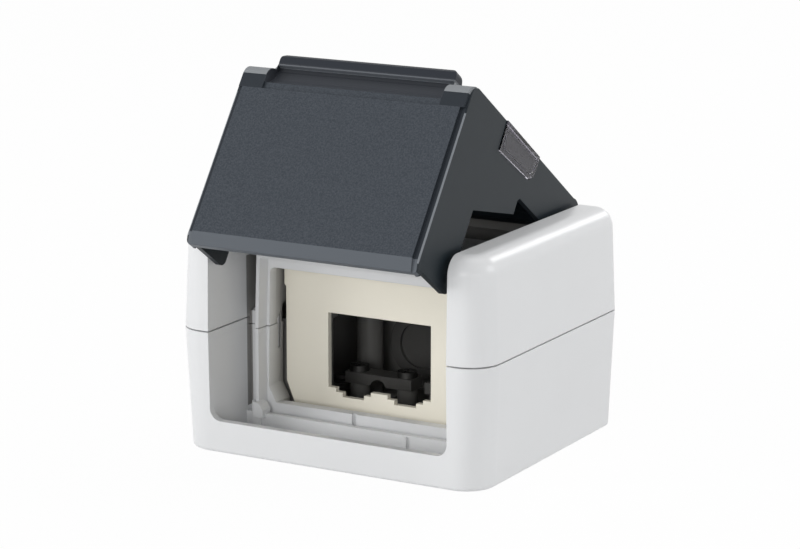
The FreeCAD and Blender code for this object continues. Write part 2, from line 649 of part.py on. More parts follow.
# ---------------------------------------------------------------- upper shell
upper = new_body("upper_shell")
prism(upper, "Pad", "upper_block", "YZ", -half, half, [[
    (0.0, upper_low), (t.box_depth, upper_low), (t.box_depth, t.box_top),
    (t.top_lean, t.box_top)]])
top_wedge = [(half, upper_low), (half + 1.0, upper_low),
             (half + 1.0, t.box_top), (half - t.top_inset, t.box_top)]
prism(upper, "Pocket", "upper_draft", "XZ", -1.0, t.box_depth + 1.0,
      [top_wedge, mirrored(top_wedge)])
round_edges(upper, "upper_front_corners", t.corner_r,
            lambda b: b.ZLength > half.value / 2 and b.YMax < 2.0)
round_edges(upper, "crown", t.crown_r,
            lambda b: near(b.ZMin, t.box_top) and b.YMin < t.box_depth.value - 1.0)
round_edges(upper, "upper_rear_edges", t.rear_r,
            lambda b: near(b.YMin, t.box_depth) and b.ZMax > upper_low.value + 1.0)
prism(upper, "Pad", "tongue", "XY", land_high, upper_low + 1.0, [joint_outline(t.joint_play)])
prism(upper, "Pocket", "gasket_room", "XY", land_high - 1.0, land_low + t.seal_height,
      [gasket_band(Size(-0.3), t.wall / 2 + 1.2)])
prism(upper, "Pocket", "lid_bay", "YZ", -t.mouth_half, t.mouth_half, [[
    (-1.0, land_high - 1.0), (t.frame_y, land_high - 1.0), (t.frame_y, t.deck_top),
    (inner_rear, t.deck_top), (inner_rear, t.hinge_z - barrel_r - t.barrel_gap),
    (t.hinge_y + 2.8, t.hinge_z - barrel_r + 0.7), (t.hinge_y + 3.3, t.hinge_z - 2.9),
    (t.box_depth + 1.0, t.hinge_z - 2.9),
    (t.box_depth + 1.0, t.box_top + 1.0), (-1.0, t.box_top + 1.0)]])
both_sides(upper, "Pocket", "lid_slot", t.collar_half, t.mouth_half, [[
    (t.land_y, t.slot_start), (t.slot_step_y, t.slot_end), (t.slot_step_y, t.slot_rear),
    (inner_rear, t.slot_rear), (inner_rear, t.box_top), (t.land_y, t.box_top)]])
prism(upper, "Pocket", "under_deck", "XY", land_high - 1.0, deck_low,
      [box_loop(-t.fin_side, t.fin_side, frame_back, inner_rear)])
slope = (t.slot_end - t.slot_start) / (t.slot_step_y - t.land_y)
both_sides(upper, "Pocket", "under_slot", t.fin_side, liner_out, [[
    (frame_back, land_high - 1.0),
    (frame_back, t.slot_start + slope * (frame_back - t.land_y) - t.skin),
    (t.slot_step_y + t.skin, t.slot_end - t.skin + slope * t.skin),
    (t.slot_step_y + t.skin, t.slot_rear - t.skin),
    (inner_rear, t.slot_rear - t.skin), (inner_rear, land_high - 1.0)]])
side_room = [
    (liner_out, t.wall + 1.9), (t.chamber_half - t.joint_cut, t.wall + 1.9),
    (t.chamber_half, t.wall + t.joint_cut + 2.8), (t.chamber_half, inner_rear), (liner_out, inner_rear)]
prism(upper, "Pocket", "side_chambers", "XY", land_high - 1.0, t.deck_top,
      [side_room, mirrored(side_room)])
upper_room = box_loop(liner_out, t.chamber_half - 1.0, t.wall + 5.0, t.hinge_block_y)
prism(upper, "Pocket", "side_tops", "XY", t.deck_top - 0.5, t.chamber_top,
      [upper_room, mirrored(upper_room)])
prism(upper, "Pocket", "window_upper", "XZ", t.frame_y - 1.0, frame_back + 1.0, [window_loop])
round_edges(upper, "window_corners", t.window_r,
            lambda b: near(b.ZMin, t.window_top) and near(b.ZMax, t.window_top)
            and b.YLength > 1.0 and b.XLength < 0.1)
prism(upper, "Pad", "collar_upper", "XZ", t.collar_y, t.frame_y + 0.5, [[
    (-t.collar_half, land_high), (-t.collar_high, t.deck_top), (t.collar_high, t.deck_top),
    (t.collar_half, land_high), (t.collar_half - t.collar_thick, land_high),
    (t.collar_high - t.collar_thick, t.deck_top - t.collar_thick),
    (-t.collar_high + t.collar_thick, t.deck_top - t.collar_thick),
    (-t.collar_half + t.collar_thick, land_high)]])
jamb_top = t.slot_start + 2.0
both_sides(upper, "Pad", "upper_jamb", t.fin_side, t.collar_half, [[
    (frame_back - 0.5, land_high), (frame_back + 0.2, land_high),
    (fin_front, land_high + t.cheek_rise), (fin_front, jamb_top),
    (frame_back - 0.5, jamb_top)]])
prism(upper, "Pad", "screw_wells", "XY", land_high, deck_low + 0.5,
      circles=[(x, y, t.well_r + t.well_wall) for x, y in boss_spots])
prism(upper, "Pocket", "well_bores", "XY", t.screw_seat, t.deck_top + 1.0,
      circles=[(x, y, t.well_r) for x, y in boss_spots])
prism(upper, "Pocket", "screw_passes", "XY", land_high - 1.0, t.screw_seat + 1.0,
      circles=[(x, y, t.pass_r) for x, y in boss_spots])
top_rib = box_loop(-t.fin_half, t.fin_half, t.window_top + 0.3, deck_low + 0.5)
back_stop = box_loop(t.fin_back, t.fin_side + 0.5, t.slot_start + 2.0, deck_low + 0.5)
prism(upper, "Pad", "top_front_rib", "XZ", fin_front - t.fin, fin_front, [top_rib])
prism(upper, "Pad", "top_rear_ribs", "XZ", fin_rear, fin_rear + t.fin,
      [top_rib, back_stop, mirrored(back_stop)])
both_sides(upper, "Pocket", "hinge_bores", t.mouth_half - 1.0, t.lid_half + t.pin_out + 1.2,
           circles=[(t.hinge_y, t.hinge_z, t.pin_r + t.hinge_play)])

# ------------------------------------------------------------- mounting plate
plate = new_body("module_plate")
prism(plate, "Pad", "plate_blank", "XZ", t.plate_y, t.plate_y + t.plate_thick, [[
    (-t.plate_foot, t.plate_low), (t.plate_foot, t.plate_low), (t.plate_foot, t.plate_foot_z),
    (t.plate_half, t.plate_chamfer_z), (t.plate_half, t.plate_wide_z),
    (t.plate_wide, t.plate_wide_z + 0.5), (t.plate_wide, t.plate_top),
    (-t.plate_wide, t.plate_top), (-t.plate_wide, t.plate_wide_z + 0.5),
    (-t.plate_half, t.plate_wide_z), (-t.plate_half, t.plate_chamfer_z),
    (-t.plate_foot, t.plate_foot_z)]])


def port_steps(centre):
    """The stepped latch recess below one port, left to right."""
    return [
        (centre - t.key1_half, t.port_base), (centre - t.key1_half, t.key1_z),
        (centre - t.key2_half, t.key1_z), (centre - t.key2_half, t.key2_z),
        (centre + t.key2_half, t.key2_z), (centre + t.key2_half, t.key1_z),
        (centre + t.key1_half, t.key1_z), (centre + t.key1_half, t.port_base),
    ]


cut_out = [(-t.port_half, t.port_top), (-t.port_half, t.port_base)]
cut_out += port_steps(-t.port_pitch / 2)
cut_out += port_steps(t.port_pitch / 2)
cut_out += [(t.port_half, t.port_base), (t.port_half, t.port_top)]
prism(plate, "Pocket", "port_cut_out", "XZ", t.plate_y - 1.0,
      t.plate_y + t.plate_thick + 1.0, [cut_out])

# --------------------------------------------------------------- joint gasket
gasket = new_body("shell_gasket")
prism(gasket, "Pad", "gasket_strip", "XY", land_low, land_low + t.seal_height,
      [gasket_band(t.joint_play + 0.1, t.wall / 2 - 0.1)])


# ------------------------------------------------------------------------ lid
def in_lid(loop):
    """Closed-lid outline measured from the hinge axis."""
    return [(as_size(point[0]) - t.hinge_y, as_size(point[1]) - t.hinge_z) + point[2:]
            for point in loop]


def hang_on_hinge(body):
    """Turn a body modelled closed round the hinge to the open position."""
    place(body, y=t.hinge_y, z=t.hinge_z, turn=Rotation(Vector(-1, 0, 0), t.lid_open.value))
    body.setExpression("Placement.Rotation.Angle", t.lid_open.text)


lid = new_body("lid")
flap_slope = (t.flap_high_y - t.flap_low_y) / (t.lid_top - t.bevel_z)
panel_top_y = t.flap_low_y + flap_slope * (t.panel_top - t.bevel_z)
prism(lid, "Pad", "lid_block", "YZ", -t.lid_half, t.lid_half, [in_lid([
    (t.flap_low_y + t.bevel_y, t.flap_bottom), (t.flap_low_y, t.bevel_z),
    (t.flap_high_y, t.lid_top), (t.hinge_y, t.lid_top), (t.hinge_y, t.hinge_z - barrel_r),
    (t.rim_end, t.notch_top), (t.notch_y + t.notch_cut, t.notch_top),
    (t.notch_y, t.notch_top - t.notch_cut), (t.notch_y, t.notch_low),
    (t.leg_rear, t.leg_top), (t.leg_rear, t.leg_bottom),
    (t.flap_low_y + t.lid_wall + 1.0, t.leg_bottom),
    (t.flap_low_y + t.lid_wall + 1.0, t.flap_bottom)])])
round_edges(lid, "ridge", t.ridge_r,
            lambda b: b.XLength > t.lid_half.value and near(b.ZMin, barrel_r)
            and near(b.YMin, t.flap_high_y - t.hinge_y))
round_edges(lid, "leg_corners", t.leg_r,
            lambda b: b.XLength > t.lid_half.value and near(b.ZMin, t.leg_bottom - t.hinge_z)
            and near(b.YMin, t.leg_rear - t.hinge_y))
round_edges(lid, "lid_side_edges", t.edge_r,
            lambda b: b.XLength < 0.1 and (near(b.ZMin, barrel_r)
                                           or (b.YMax < t.flap_high_y.value - t.hinge_y.value
                                               + 0.2 and b.ZLength > t.lid_half.value)))
prism(lid, "Pad", "barrel", "YZ", -t.lid_half, t.lid_half, circles=[(0.0, 0.0, barrel_r)])
inner_top = t.lid_top - t.lid_wall
prism(lid, "Pocket", "lid_hollow", "YZ", -t.lid_half + t.lid_side, t.lid_half - t.lid_side,
      [in_lid([
          (t.flap_low_y + t.lid_wall, t.flap_bottom - 3.0),
          (t.flap_high_y + 2.2, t.lid_top - 8.3), (t.flap_high_y + 6.9, inner_top),
          (t.hinge_y - barrel_r - 1.0, inner_top), (t.hinge_y - barrel_r - 0.1, t.hinge_z),
          (t.hinge_y - barrel_r + 0.3, t.hinge_z - 2.6),
          (t.hinge_y - 2.0, t.hinge_z - barrel_r - 0.1),
          (t.hinge_y + 1.0, t.hinge_z - barrel_r - 0.1),
          (t.hinge_y + 1.0, t.flap_bottom - 3.0)])])

# Finger lip with the scoop in front of it.
prism(lid, "Pad", "finger_lip", "YZ", -t.scoop_half, t.scoop_half, [in_lid([
    (t.lip_low_y, t.lid_top - 1.0), (t.lip_low_y, t.lip_low_z),
    (t.lip_front + 0.2, t.lip_low_z + 0.2), (t.lip_front, t.lip_low_z + 0.7),
    (t.lip_front, t.lip_top - 0.7), (t.lip_front + 0.6, t.lip_top),
    (t.lip_front + t.lip_thick - 0.5, t.lip_top - 0.2),
    (t.lip_front + t.lip_thick, t.lip_top - 0.9), (t.lip_low_y + t.lip_thick, t.lid_top + 0.5),
    (t.lip_low_y + t.lip_thick + 0.9, t.lid_top - 1.0)])])
lip_root = [
    (t.scoop_half - 0.5, t.lid_top - t.hinge_z + t.lip_r),
    (t.scoop_half, t.lid_top - t.hinge_z + t.lip_r, t.lip_r),
    (t.scoop_half + t.lip_r, t.lid_top - t.hinge_z),
    (t.scoop_half + t.lip_r, t.lid_top - t.hinge_z - 0.5),
    (t.scoop_half - 0.5, t.lid_top - t.hinge_z - 0.5)]
prism(lid, "Pad", "lip_roots", "XZ", t.lip_low_y - t.hinge_y,
      t.lip_low_y + t.lip_thick - t.hinge_y, [lip_root, mirrored(lip_root)])
lip_tip = [
    (t.scoop_half + 0.1, t.lip_top - t.hinge_z + 0.1),
    (t.scoop_half + 0.1, t.lip_top - t.hinge_z - t.lip_r),
    (t.scoop_half, t.lip_top - t.hinge_z - t.lip_r, t.lip_r),
    (t.scoop_half - t.lip_r, t.lip_top - t.hinge_z),
    (t.scoop_half - t.lip_r, t.lip_top - t.hinge_z + 0.1)]
prism(lid, "Pocket", "lip_tips", "XZ", t.lip_front - 1.0 - t.hinge_y,
      t.lip_low_y + t.lip_thick - t.hinge_y, [lip_tip, mirrored(lip_tip)])
prism(lid, "Pocket", "finger_scoop", "YZ", -t.scoop_half, t.scoop_half, [in_lid([
    (0.5, t.scoop_low), (t.flap_high_y - 0.1, t.scoop_low, t.scoop_r),
    (t.lip_low_y, t.lip_low_z), (t.lip_front + 0.2, t.lip_low_z + 0.2),
    (0.5, t.lip_low_z + 0.2)])])
# Raised panel and lugs on the flap, round flap corners, recesses for the label
# window and bores for the pins.
prism(lid, "Pad", "flap_panel", "YZ", -t.panel_half, t.panel_half, [in_lid([
    (t.flap_low_y + t.bevel_y - t.panel_proud * 0.5, t.flap_bottom),
    (t.flap_low_y - t.panel_proud, t.bevel_z), (panel_top_y - t.panel_proud, t.panel_top),
    (panel_top_y + 0.6, t.panel_top), (t.flap_low_y + 0.6, t.bevel_z),
    (t.flap_low_y + t.bevel_y + 0.6, t.flap_bottom)])])
lug_y = t.flap_low_y + flap_slope * (t.lug_top - t.bevel_z) - t.panel_proud
both_sides(lid, "Pad", "lug", t.scoop_half, t.lid_half - t.lug_margin, [in_lid([
    (t.flap_high_y + t.ridge_r + 0.1, t.lid_top), (t.lip_front, t.lid_top, t.lug_r),
    (lug_y, t.lug_top), (panel_top_y - t.panel_proud, t.panel_top),
    (panel_top_y + 0.6, t.panel_top), (t.flap_high_y + t.ridge_r + 0.1, t.lid_top - 1.0)])])
low_z = t.flap_bottom - t.hinge_z
flap_corner = [
    (t.lid_half - t.flap_r, low_z, t.flap_r), (t.lid_half, low_z + t.flap_r),
    (t.lid_half + 0.1, low_z + t.flap_r), (t.lid_half + 0.1, low_z - 0.1),
    (t.lid_half - t.flap_r, low_z - 0.1)]
prism(lid, "Pocket", "flap_corners", "XZ", t.flap_low_y - 1.0 - t.hinge_y,
      t.flap_low_y + t.lid_wall + 1.0 - t.hinge_y, [flap_corner, mirrored(flap_corner)])
prism(lid, "Pocket", "label_recess", "YZ", -t.lid_half - 1.0, t.lid_half + 1.0, [in_lid([
    (t.label_front, t.lid_top - t.label_deep), (t.label_rear, t.lid_top - t.label_deep),
    (t.label_rear, t.lid_top + 1.0), (t.label_front, t.lid_top + 1.0)])])


def label_lug(play):
    return in_lid([
        (t.label_front + play, t.lid_top + 0.0), (t.label_front + play, t.label_low + play),
        (t.label_rear - 2.4 - play, t.label_low + 0.8 + play),
        (t.label_rear - 0.6 - play, t.label_low + 2.2 + play),
        (t.label_rear - play, t.label_low + 5.0 + play), (t.label_rear - play, t.lid_top + 0.0)])


both_sides(lid, "Pocket", "label_side", t.lid_half - t.label_side, t.lid_half + 1.0,
           [label_lug(Size(0.0))])
both_sides(lid, "Pocket", "pin_holes", t.lid_half - t.pin_in - 0.4, t.lid_half + 1.0,
           circles=[(0.0, 0.0, t.pin_r + t.pin_fit)])
hang_on_hinge(lid)

# ------------------------------------------------- clear label window and card
card = new_body("label_card")
card_low = t.lid_top - t.label_deep
prism(card, "Pad", "card_sheet", "YZ", -t.lid_half + t.label_side + t.card_margin,
      t.lid_half - t.label_side - t.card_margin, [in_lid([
          (t.label_front + t.card_margin, card_low), (t.label_rear - t.card_margin, card_low),
          (t.label_rear - t.card_margin, card_low + t.card_thick),
          (t.label_front + t.card_margin, card_low + t.card_thick)])])
hang_on_hinge(card)

pane = new_body("label_window")
pane_low = card_low + t.card_thick
prism(pane, "Pad", "pane", "YZ", -t.lid_half, t.lid_half, [in_lid([
    (t.label_front + t.pane_play, pane_low), (t.label_rear - t.pane_play, pane_low),
    (t.label_rear - t.pane_play, t.lid_top), (t.label_front + t.pane_play, t.lid_top)])])
both_sides(pane, "Pad", "pane_lug", t.lid_half - t.label_side + 0.05,
           t.lid_half + t.pane_proud, [label_lug(t.pane_play)])
hang_on_hinge(pane)

# ----------------------------------------------------------------- hinge pins
for side, sign in (("left", -1.0), ("right", 1.0)):
    pin = new_body("hinge_pin_" + side)
    inner_end = sign * (t.lid_half - t.pin_in)
    outer_end = sign * (t.lid_half + t.pin_out)
    low, high = (outer_end, inner_end) if sign < 0 else (inner_end, outer_end)
    prism(pin, "Pad", "pin_" + side, "YZ", low, high, circles=[(t.hinge_y, t.hinge_z, t.pin_r)])


# ------------------------------------------------------------- screws, seals
def make_screw(name, x, y, seat, head_r, head, length):
    """Pan head screw with a cross recess, head sitting on the given height."""
    body = new_body(name)
    prism(body, "Pad", name + "_shank", "XY", -length, Size(0.2), circles=[(0, 0, t.screw_r)])
    prism(body, "Pad", name + "_head", "XY", Size(0.0), head, circles=[(0, 0, head_r)])
    wide, long = t.cross_wide / 2, t.cross_long / 2
    prism(body, "Pocket", name + "_cross", "XY", head - t.cross_deep, head + 1.0, [[
        (-wide, -long), (wide, -long), (wide, -wide), (long, -wide), (long, wide),
        (wide, wide), (wide, long), (-wide, long), (-wide, wide), (-long, wide),
        (-long, -wide), (-wide, -wide)]])
    place(body, x, y, seat)


for number, (x, y) in enumerate(boss_spots, start=1):
    make_screw("shell_screw_%d" % number, x, y, t.screw_seat, t.screw_head_r, t.screw_head,
               t.screw_long)
for number, (x, y) in enumerate(clamp_spots, start=1):
    make_screw("clamp_screw_%d" % number, x, y, t.clamp_z + t.clamp_thick, t.clamp_head_r,
               t.clamp_head, t.clamp_screw_long + t.clamp_thick - 0.5)

for number, (x, y) in enumerate(fix_spots, start=1):
    seal = new_body("fixing_seal_%d" % number)
    prism(seal, "Pad", "seal_ring_%d" % number, "XY", t.seat_low,
          t.fix_rim_top + t.seal_proud,
          circles=[(x, y, t.fix_seat_r - t.seal_play), (x, y, t.fix_r)])

for side, sign in (("left", -1.0), ("right", 1.0)):
    grommet = new_body("cable_grommet_" + side)
    x = sign * t.entry_x
    prism(grommet, "Pad", "flange_" + side, "XZ", inner_rear - t.grommet_flange, inner_rear,
          circles=[(x, t.entry_z, t.entry_r + t.grommet_lap)])
    prism(grommet, "Pad", "neck_" + side, "XZ", inner_rear - 0.5, t.box_depth,
          circles=[(x, t.entry_z, t.entry_r - t.grommet_play)])
    prism(grommet, "Pocket", "cup_" + side, "XZ", inner_rear + t.grommet_skin / 2,
          t.box_depth + 1.0, circles=[(x, t.entry_z, t.entry_r - t.grommet_wall)])
    prism(grommet, "Pocket", "relief_" + side, "XZ", inner_rear - t.grommet_flange - 1.0,
          inner_rear - t.grommet_skin / 2, circles=[(x, t.entry_z, t.entry_r - t.grommet_wall)])
    prism(grommet, "Pad", "nipple_" + side, "XZ", inner_rear, inner_rear + t.nipple,
          circles=[(x, t.entry_z, t.cable_r)])

    bar = new_body("cable_clamp_" + side)
    prism(bar, "Pad", "bar_" + side, "XY", t.clamp_z, t.clamp_z + t.clamp_thick, [
        box_loop(x - t.clamp_long / 2, x + t.clamp_long / 2, t.clamp_y - t.clamp_wide / 2,
                 t.clamp_y + t.clamp_wide / 2)])
    prism(bar, "Pocket", "bar_groove_" + side, "XZ", t.clamp_y - t.clamp_wide,
          t.clamp_y + t.clamp_wide, circles=[(x, t.clamp_z - 0.6, t.cable_r - 0.6)])
    prism(bar, "Pocket", "bar_holes_" + side, "XY", t.clamp_z - 1.0,
          t.clamp_z + t.clamp_thick + 1.0,
          circles=[(x - t.clamp_screw_x, t.clamp_y, t.pass_r),
                   (x + t.clamp_screw_x, t.clamp_y, t.pass_r)])

doc.recompute()

# ------------------------------------------------------------------- export
os.makedirs("parts", exist_ok=True)
for item in doc.Objects:
    if "Invalid" in item.State or "Error" in item.State:
        raise RuntimeError("object did not build: " + item.Name)
for body in [item for item in doc.Objects if item.TypeId == "PartDesign::Body"]:
    shape = body.Shape
    if shape.isNull() or not shape.isValid() or len(shape.Solids) != 1:
        raise RuntimeError("bad shape: %s solids %d" % (body.Label, len(shape.Solids)))
    shape.exportStep("parts/" + body.Label + ".step")
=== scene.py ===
import json
import math

import bmesh
import bpy
from mathutils import Matrix, Vector


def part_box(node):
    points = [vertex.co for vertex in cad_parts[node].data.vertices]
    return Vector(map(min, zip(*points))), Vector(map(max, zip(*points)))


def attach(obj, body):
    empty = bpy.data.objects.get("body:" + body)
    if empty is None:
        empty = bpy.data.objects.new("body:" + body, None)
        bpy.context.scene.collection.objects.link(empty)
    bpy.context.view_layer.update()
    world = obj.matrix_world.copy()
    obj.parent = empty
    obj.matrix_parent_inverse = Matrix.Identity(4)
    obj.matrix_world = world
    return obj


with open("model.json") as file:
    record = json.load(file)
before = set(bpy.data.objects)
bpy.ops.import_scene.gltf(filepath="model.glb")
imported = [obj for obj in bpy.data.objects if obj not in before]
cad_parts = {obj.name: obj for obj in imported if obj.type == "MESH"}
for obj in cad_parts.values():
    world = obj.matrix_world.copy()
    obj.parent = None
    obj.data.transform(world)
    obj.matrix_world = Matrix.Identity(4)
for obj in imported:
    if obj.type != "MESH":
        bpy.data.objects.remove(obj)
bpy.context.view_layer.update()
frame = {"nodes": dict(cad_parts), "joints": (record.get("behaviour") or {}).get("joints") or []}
nodes = frame["nodes"]

# ---------------------------------------------------------------- housing shells
# Two injection moulded shells in pale grey ABS.  The lower one is screwed to the wall and
# the upper one to the lower.  The outside is satin smooth; the hollows have painted shade.


class Wire:
    """A socket in a node tree; arithmetic on it adds Math nodes."""

    def __init__(self, tree, socket=None):
        self.tree = tree
        self.socket = socket

    def node(self, kind, inputs=None, out=0, **settings):
        """Adds a node, its settings first, then its values and links; returns one output."""
        new = self.tree.nodes.new(kind)
        stops = settings.pop("stops", ())
        for name, value in settings.items():
            setattr(new, name, value)
        if stops:
            for stop, (place, grey) in zip(new.color_ramp.elements, stops, strict=True):
                stop.position = place
                stop.color = (grey, grey, grey, 1.0)
        for name, value in (inputs or {}).items():
            if isinstance(value, Wire):
                self.tree.links.new(value.socket, new.inputs[name])
            else:
                new.inputs[name].default_value = value
        return Wire(self.tree, new.outputs[out] if len(new.outputs) else None)

    def output(self, name):
        """Another output of the same node."""
        return Wire(self.tree, self.socket.node.outputs[name])

    def maths(self, operation, first, second=0.0):
        return self.node("ShaderNodeMath", {0: first, 1: second}, operation=operation)

    def __add__(self, other):
        return self.maths("ADD", self, other)

    def __sub__(self, other):
        return self.maths("SUBTRACT", self, other)

    def __rsub__(self, other):
        return self.maths("SUBTRACT", other, self)

    def __mul__(self, other):
        return self.maths("MULTIPLY", self, other)

    def __truediv__(self, other):
        return self.maths("DIVIDE", self, other)

    def __rtruediv__(self, other):
        return self.maths("DIVIDE", other, self)

    def __gt__(self, other):
        return self.maths("GREATER_THAN", self, other)

    def __lt__(self, other):
        return self.maths("LESS_THAN", self, other)

    def __or__(self, other):
        """The larger of two masks."""
        return self.maths("MAXIMUM", self, other)

    def __abs__(self):
        return self.maths("ABSOLUTE", self)

    __radd__ = __add__
    __rmul__ = __mul__
    __ror__ = __or__


def new_finish(name):
    """An empty material, with a wire to start its nodes from."""
    material = bpy.data.materials.new(name)
    material.use_nodes = True
    material.node_tree.nodes.clear()
    return material, Wire(material.node_tree)


def coat_with(material, start, shader):
    """Puts the shader on the material's output."""
    start.node("ShaderNodeOutputMaterial", {"Surface": shader})
    return material


def axes_of(start, place):
    """X, Y and Z of a position."""
    split = start.node("ShaderNodeSeparateXYZ", {"Vector": place})
    return [split.output(axis) for axis in "XYZ"]


def between(value, low, high):
    """Mask of 1 where the value lies between low and high."""
    return (value > low) * (value < high)


def noise(start, place, size, detail=3.0, rough=0.55):
    """Soft random pattern between 0 and 1 with blobs of the given size in metres."""
    return start.node("ShaderNodeTexNoise", {
        "Vector": place, "Scale": 1.0 / size, "Detail": detail, "Roughness": rough})


def tint(start, mask, low, high):
    """Colour that goes from low to high as the mask goes from 0 to 1."""
    low, high = (end if isinstance(end, Wire) else (*end, 1.0) for end in (low, high))
    return start.node("ShaderNodeMix", {"Factor": mask, 6: low, 7: high},
                      out=2, data_type="RGBA")


def bumped(start, height, depth, edge=0.0):
    """Surface normal with a relief of the given depth, edges softened by a small radius."""
    inputs = {"Height": height, "Distance": depth, "Strength": 1.0}
    if edge:
        inputs["Normal"] = start.node("ShaderNodeBevel", {"Radius": edge}, samples=4)
    return start.node("ShaderNodeBump", inputs)


def paint(names, material):
    """Gives these nodes of the frame their finish."""
    for name in names:
        for material_slot in nodes[name].material_slots:
            material_slot.material = material


shell_pale = (0.752, 0.757, 0.764)
shell_shade = (0.730, 0.736, 0.742)
# Painted shade: the grey that the shells' hollows take.
painted_hollow_shade = (0.240, 0.235, 0.226)

# Where shade is painted in: the cable room behind the plate, the rear of the lid's bay,
# the slots for the lid's side walls and the jambs beside the plate.
shell_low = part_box("lower_shell")[0]
shell_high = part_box("upper_shell")[1]
skin = 0.0018
plate_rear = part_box("module_plate")[1][1]
deck_gap = 0.0009
deck_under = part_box("module_plate")[1][2] + deck_gap
bay_side = 0.0328
bay_front = 0.0215
bay_back = 0.0357
bay_top = 0.0570
slot_in = 0.0335
slot_out = 0.0345
slot_front = -0.0189
slot_low = 0.0080
jamb_in = 0.0252
jamb_out = 0.0292
jamb_high = 0.0452
jamb_front = -0.0172
jamb_fade = 0.0060


def shell_painted_shade_mask(start, place):
    """Mask of the parts of the shells where shade is painted in."""
    x, y, z = axes_of(start, place)
    across = abs(x)
    room = between(x, shell_low[0] + skin, shell_high[0] - skin)
    room = room * between(y, plate_rear, shell_high[1] - skin)
    room = room * between(z, shell_low[2] + skin, deck_under)
    bay = (across < bay_side) * between(y, bay_front, bay_back)
    bay = bay * between(z, deck_under, bay_top)
    slot = between(across, slot_in, slot_out) * between(y, slot_front, bay_back)
    slot = slot * between(z, slot_low, deck_under)
    jamb = between(across, jamb_in, jamb_out) * between(y, jamb_front, plate_rear)
    jamb = jamb * between(z, slot_low, jamb_high)
    return room | bay | slot | jamb * (y - jamb_front) * (1.0 / jamb_fade)


def shell_finish():
    """Pale satin ABS, with shade painted darker into the hollows."""
    material, start = new_finish("housing_abs")
    place = start.node("ShaderNodeTexCoord", out=3)
    outside = tint(start, noise(start, place, 0.018, 2.0), shell_pale, shell_shade)
    shader = start.node("ShaderNodeBsdfPrincipled", {
        "Base Color": tint(start, shell_painted_shade_mask(start, place), outside, painted_hollow_shade),
        "Roughness": 0.27 + 0.05 * noise(start, place, 0.006, 2.0),
        "IOR": 1.46,
        "Normal": bumped(start, noise(start, place, 0.0005, 2.0), 0.000002, 0.00025)})
    return coat_with(material, start, shader)


paint(("lower_shell", "upper_shell"), shell_finish())

# ------------------------------------------------------------------------- screws
# Four zinc-plated pan head screws hold the upper shell down and four dark ones the cable
# clamps, their metal darkened as painted shade of the cable room.  Their rolled threads
# cut their own way into the plastic bosses.


def metal_finish(name, base, rough):
    """Metal with fine streaks, a little duller and darker in them."""
    material, start = new_finish(name)
    place = start.node("ShaderNodeTexCoord", out=3)
    streaks = noise(start, place, 0.0009, 4.0)
    dull = tuple(0.72 * part for part in base)
    shader = start.node("ShaderNodeBsdfPrincipled", {
        "Base Color": tint(start, streaks, base, dull),
        "Metallic": 1.0,
        "Roughness": rough + 0.15 * noise(start, place, 0.0003, 2.0),
        "Normal": bumped(start, streaks, 0.000008, 0.0001)})
    return coat_with(material, start, shader)


def new_tree(name, *inputs):
    """An empty geometry tree; returns its start and a wire for each named input."""
    tree = bpy.data.node_groups.new(name, "GeometryNodeTree")
    for title, kind in inputs:
        tree.interface.new_socket(title, in_out="INPUT", socket_type="NodeSocket" + kind)
    tree.interface.new_socket("Mesh", in_out="OUTPUT", socket_type="NodeSocketGeometry")
    start = Wire(tree)
    source = start.node("NodeGroupInput")
    return start, [source.output(title) for title, kind in inputs]


def close_tree(start, form, material):
    """Ends a geometry tree: instances made real, and painted."""
    real = start.node("GeometryNodeRealizeInstances", {"Geometry": form})
    painted = start.node("GeometryNodeSetMaterial", {"Geometry": real, "Material": material})
    start.node("NodeGroupOutput", {0: painted})
    return start.tree


def grow(name, points, edges, tree, sizes):
    """A plain mesh made by a geometry tree from a few points and edges."""
    seed = bpy.data.meshes.new(name + "_seed")
    seed.from_pydata(points, edges, [])
    piece = bpy.data.objects.new(name, seed)
    bpy.context.scene.collection.objects.link(piece)
    modifier = piece.modifiers.new("grow", "NODES")
    modifier.node_group = tree
    for item in tree.interface.items_tree:
        if item.name in sizes:
            modifier[item.identifier] = sizes[item.name]
    graph = bpy.context.evaluated_depsgraph_get()
    mesh = bpy.data.meshes.new_from_object(piece.evaluated_get(graph))
    piece.modifiers.remove(modifier)
    piece.data = mesh
    mesh.name = name
    return piece


def thread_tree(material):
    """Winds a ridge round every screw of a set, one screw for each point."""
    start, (points, radius, pitch, length, ridge) = new_tree(
        "screw_thread", ("Points", "Geometry"), ("Radius", "Float"), ("Pitch", "Float"),
        ("Length", "Float"), ("Ridge", "Float"))
    helix = start.node("GeometryNodeCurveSpiral", {
        "Resolution": 20, "Rotations": length / pitch,
        "Start Radius": radius, "End Radius": radius, "Height": length})
    profile = start.node("GeometryNodeCurvePrimitiveCircle", {"Resolution": 4, "Radius": ridge})
    thread = start.node("GeometryNodeCurveToMesh", {
        "Curve": helix, "Profile Curve": profile, "Fill Caps": True})
    copies = start.node("GeometryNodeInstanceOnPoints", {"Points": points, "Instance": thread})
    return close_tree(start, copies, material)


zinc = metal_finish("zinc_plate", (0.62, 0.63, 0.64), 0.28)
